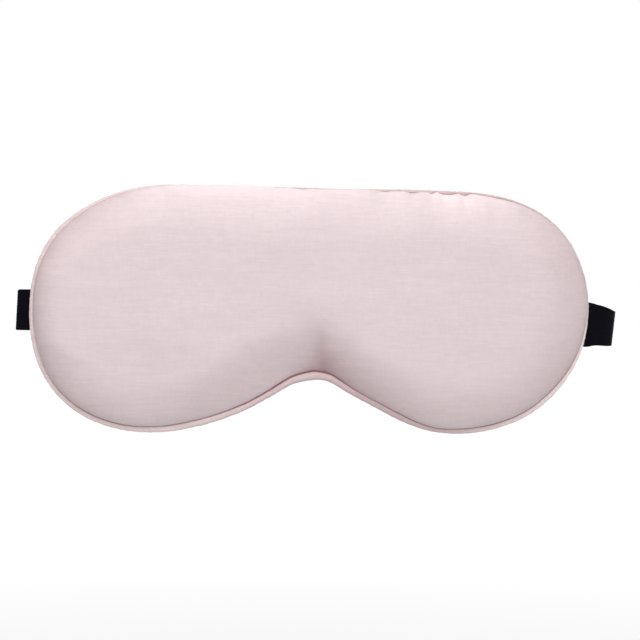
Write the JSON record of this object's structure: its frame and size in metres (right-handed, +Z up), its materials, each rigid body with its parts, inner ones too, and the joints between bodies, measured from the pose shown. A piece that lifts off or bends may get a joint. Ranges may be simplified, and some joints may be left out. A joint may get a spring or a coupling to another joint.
{
  "type": "sleep eye mask",
  "caption": "Padded satin sleep mask with corded piping, a nose notch and an adjustable elastic strap that arches behind it.",
  "frame": {"origin": "midway between the eyes, on the strap's centre line and on the face side of the pad", "axes": "+X across the face, +Y from the mask's front towards the back of the head, +Z up"},
  "size_m": [0.2345, 0.1254, 0.0925],
  "materials": {
    "satin": "satin",
    "piping_satin": "satin",
    "cotton_cord": "matte",
    "wadding": "matte",
    "blackout_cloth": "matte",
    "elastic": "matte",
    "black_plastic": "satin",
    "thread": "matte"
  },
  "bodies": {
    "mask": {"front_panel": "satin", "front_wadding": "wadding", "blackout_lining": "blackout_cloth", "back_wadding": "wadding", "back_panel": "satin", "piping_cover": "piping_satin", "piping_cord": "cotton_cord"},
    "strap": {"strap_band": "elastic", "ring_tab": "elastic"},
    "ring": {"strap_ring": "black_plastic"},
    "slider": {"strap_slider": "black_plastic", "strap_return": "elastic", "end_bartack": "thread"}
  },
  "joints": [
    {"name": "strap_swing", "type": "hinge", "parent": "mask", "child": "strap", "pos_m": [0, 0.00275, 0], "axis": [1, 0, 0], "range_deg": [-60, 60], "stiffness_Nm_per_rad": 0.05, "springref_deg": 1.29, "deforming": ["strap_band", "ring_tab"]},
    {"name": "ring_rock", "type": "hinge", "parent": "strap", "child": "ring", "pos_m": [0.11358, 0.04883, 0], "axis": [0, 0, 1], "range_deg": [-8, 8]},
    {"name": "slider_adjust", "type": "hinge", "parent": "strap", "child": "slider", "pos_m": [0.0058, -0.02649, 0], "axis": [0, 0, 1], "range_deg": [-18, 50], "deforming": ["strap_return"]}
  ]
}
